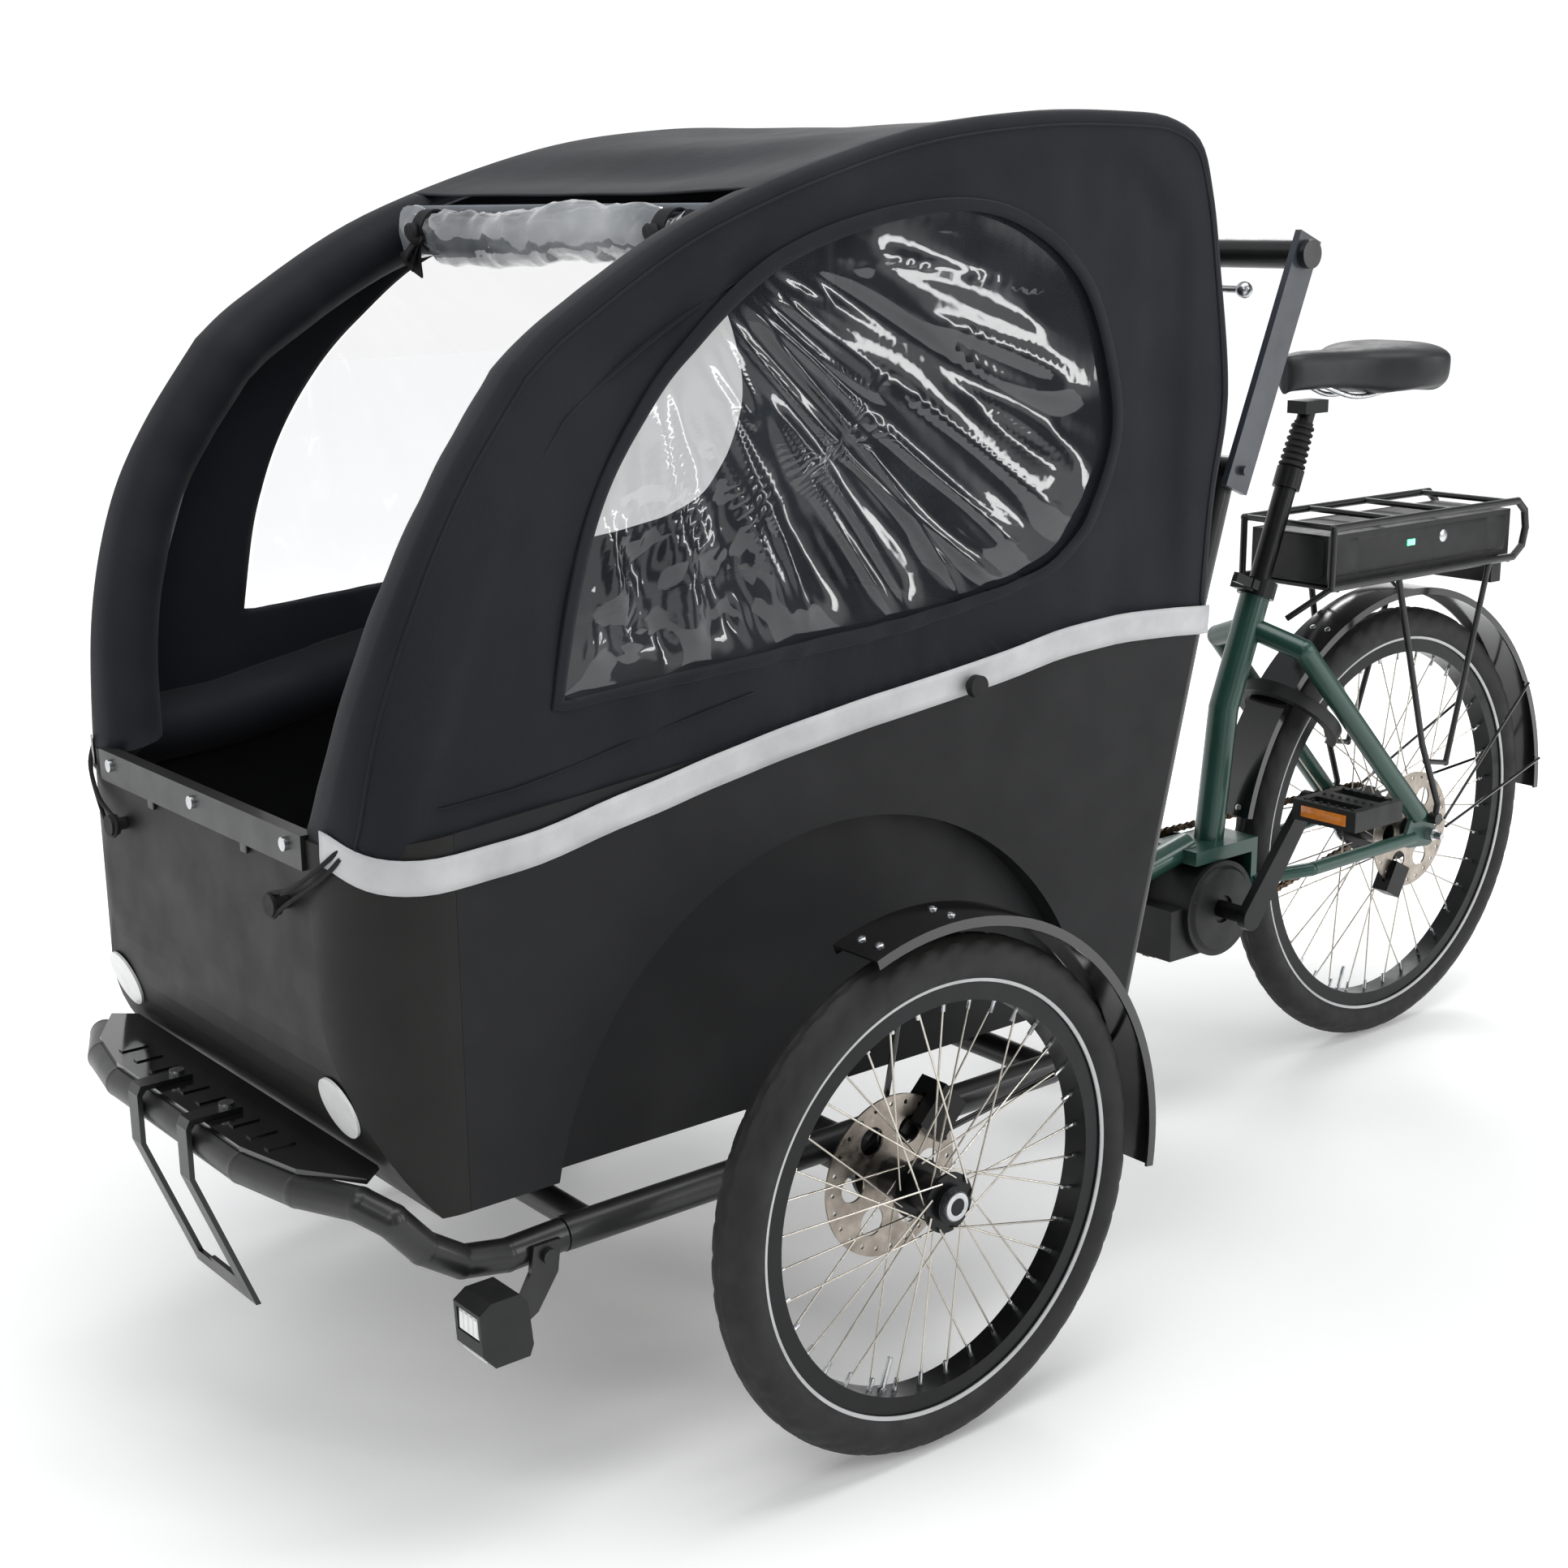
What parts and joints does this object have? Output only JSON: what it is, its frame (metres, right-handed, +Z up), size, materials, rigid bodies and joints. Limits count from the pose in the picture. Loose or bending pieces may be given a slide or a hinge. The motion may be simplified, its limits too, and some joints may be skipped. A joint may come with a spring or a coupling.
{
  "type": "box cargo trike with rain hood",
  "caption": "Front-loading cargo trike: wide box with bench and zip-on rain hood between two front wheels, steered rear frame with mid motor, rack battery and saddle.",
  "frame": {"origin": "on the ground, midway along the length and the width of the whole trike", "axes": "+X forwards, +Y to the rider's left, +Z up"},
  "size_m": [2.121, 0.902, 1.225],
  "materials": {
    "frame_black": "satin powder coat",
    "gloss_black": "gloss",
    "panel_black": "fine grain",
    "board": "dark film-faced plywood",
    "rail_grey": "anodised",
    "cushion": "woven",
    "hoop": "satin",
    "hood_cloth": "woven polyester",
    "clear_window": "clear film",
    "white_reflector": "reflector",
    "bright_steel": "bright zinc",
    "dark_metal": "black anodised",
    "rim_black": "black anodised",
    "tyre": "matt",
    "spoke": "stainless",
    "frame_green": "satin powder coat",
    "chain_steel": "oiled",
    "saddle_skin": "synthetic",
    "arm_grey": "painted",
    "battery_case": "fine grain"
  },
  "bodies": {
    "front": {"chassis": "frame_black", "bumper": "frame_black", "step_plate": "gloss_black", "step_loop": "frame_black", "box_floor": "board", "box_front_panel": "panel_black", "box_side_panels": "panel_black", "box_rear_panel": "panel_black", "rim_rails": "rail_grey", "bench": "board", "cushions": "cushion", "hood_hoops": "hoop", "hood_cover": "hood_cloth", "hood_windows": "clear_window", "front_reflectors": "white_reflector", "box_fasteners": "bright_steel", "stub_axles": "bright_steel", "front_calipers": "dark_metal", "front_mudguards": "gloss_black", "headlight_bracket": "frame_black"},
    "headlight": {"headlight": "battery_case"},
    "handlebar": {"handlebar_arms": "arm_grey", "handlebar_tube": "frame_black", "lever_clamps": "dark_metal"},
    "brake_lever_left": {"brake_lever_left": "bright_steel"},
    "brake_lever_right": {"brake_lever_right": "bright_steel"},
    "gear_shifter": {"gear_shifter": "battery_case"},
    "left_wheel": {"left_tyre": "tyre", "left_rim": "rim_black", "left_spokes": "spoke", "left_hub": "dark_metal"},
    "right_wheel": {"right_tyre": "tyre", "right_rim": "rim_black", "right_spokes": "spoke", "right_hub": "dark_metal"},
    "rear": {"rear_frame": "frame_green", "motor_case": "battery_case", "rear_mudguard": "gloss_black", "rack": "frame_black", "rear_light": "battery_case", "ring_lock": "battery_case", "rear_caliper": "dark_metal", "rear_axle": "bright_steel", "seat_clamp": "dark_metal", "chain": "chain_steel"},
    "rear_wheel": {"rear_tyre": "tyre", "rear_rim": "rim_black", "rear_spokes": "spoke", "rear_hub": "dark_metal"},
    "sprocket": {"rear_sprocket": "bright_steel"},
    "cranks": {"chainring": "dark_metal", "crank_arms": "dark_metal"},
    "left_pedal": {"left_pedal": "battery_case"},
    "right_pedal": {"right_pedal": "battery_case"},
    "battery": {"battery": "battery_case"},
    "seat_lever": {"seat_lever": "dark_metal"},
    "seatpost": {"seatpost": "dark_metal"},
    "seat_head": {"seatpost_head": "dark_metal", "saddle": "saddle_skin"},
    "lock_bolt": {"lock_bolt": "bright_steel"}
  },
  "joints": [
    {"name": "headlight_tilt", "type": "hinge", "parent": "front", "child": "headlight", "pos_m": [0.9025, 0.309, 0.205], "axis": [0, 1, 0], "range_deg": [-12, 12]},
    {"name": "handlebar_tilt", "type": "hinge", "parent": "front", "child": "handlebar", "pos_m": [-0.0715, 0, 0.862], "axis": [0, 1, 0], "range_deg": [-12, 10]},
    {"name": "left_brake_pull", "type": "hinge", "parent": "handlebar", "child": "brake_lever_left", "pos_m": [-0.14666, 0.104, 1.04867], "axis": [0, 0, 1], "range_deg": [0, 14], "stiffness_Nm_per_rad": 1},
    {"name": "right_brake_pull", "type": "hinge", "parent": "handlebar", "child": "brake_lever_right", "pos_m": [-0.14666, -0.104, 1.04867], "axis": [0, 0, -1], "range_deg": [0, 14], "stiffness_Nm_per_rad": 1},
    {"name": "gear_twist", "type": "hinge", "parent": "handlebar", "child": "gear_shifter", "pos_m": [-0.16066, -0.17, 1.08267], "axis": [0, 1, 0], "range_deg": [-45, 45]},
    {"name": "left_wheel_spin", "type": "hinge", "parent": "front", "child": "left_wheel", "pos_m": [0.4945, 0.416, 0.25], "axis": [0, 1, 0], "continuous": true},
    {"name": "right_wheel_spin", "type": "hinge", "parent": "front", "child": "right_wheel", "pos_m": [0.4945, -0.416, 0.25], "axis": [0, 1, 0], "continuous": true},
    {"name": "steering", "type": "hinge", "parent": "front", "child": "rear", "pos_m": [0.1495, 0, 0.262], "axis": [0, 0, 1], "range_deg": [-30, 30]},
    {"name": "rear_wheel_spin", "type": "hinge", "parent": "rear", "child": "rear_wheel", "pos_m": [-0.7305, 0, 0.3005], "axis": [0, 1, 0], "continuous": true},
    {"name": "crank_spin", "type": "hinge", "parent": "rear", "child": "cranks", "pos_m": [-0.3455, 0, 0.265], "axis": [0, 1, 0], "continuous": true},
    {"name": "sprocket_spin", "type": "hinge", "parent": "rear", "child": "sprocket", "pos_m": [-0.7305, -0.0495, 0.3005], "axis": [0, 1, 0], "continuous": true},
    {"name": "left_pedal_spin", "type": "hinge", "parent": "cranks", "child": "left_pedal", "pos_m": [-0.45016, 0.15, 0.39896], "axis": [0, 1, 0], "continuous": true},
    {"name": "right_pedal_spin", "type": "hinge", "parent": "cranks", "child": "right_pedal", "pos_m": [-0.24084, -0.15, 0.13104], "axis": [0, 1, 0], "continuous": true},
    {"name": "battery_slide", "type": "slide", "parent": "rear", "child": "battery", "axis": [-1, 0, 0], "range_m": [0, 0.3]},
    {"name": "seat_lever_turn", "type": "hinge", "parent": "rear", "child": "seat_lever", "pos_m": [-0.41469, 0, 0.67064], "axis": [0, 1, 0], "range_deg": [-60, 60]},
    {"name": "seatpost_height", "type": "slide", "parent": "rear", "child": "seatpost", "axis": [-0.3584, 0, 0.9336], "range_m": [-0.05, 0.04]},
    {"name": "suspension", "type": "slide", "parent": "seatpost", "child": "seat_head", "axis": [-0.3584, 0, 0.9336], "range_m": [-0.04, 0], "stiffness_N_per_m": 20000},
    {"name": "lock_bolt_turn", "type": "hinge", "parent": "rear", "child": "lock_bolt", "pos_m": [-0.51805, 0, 0.48518], "axis": [0.6561, 0, -0.7547], "range_deg": [0, 86]}
  ],
  "couplings": [
    {"joint": "sprocket_spin", "follows": "crank_spin", "ratio": 2}
  ]
}
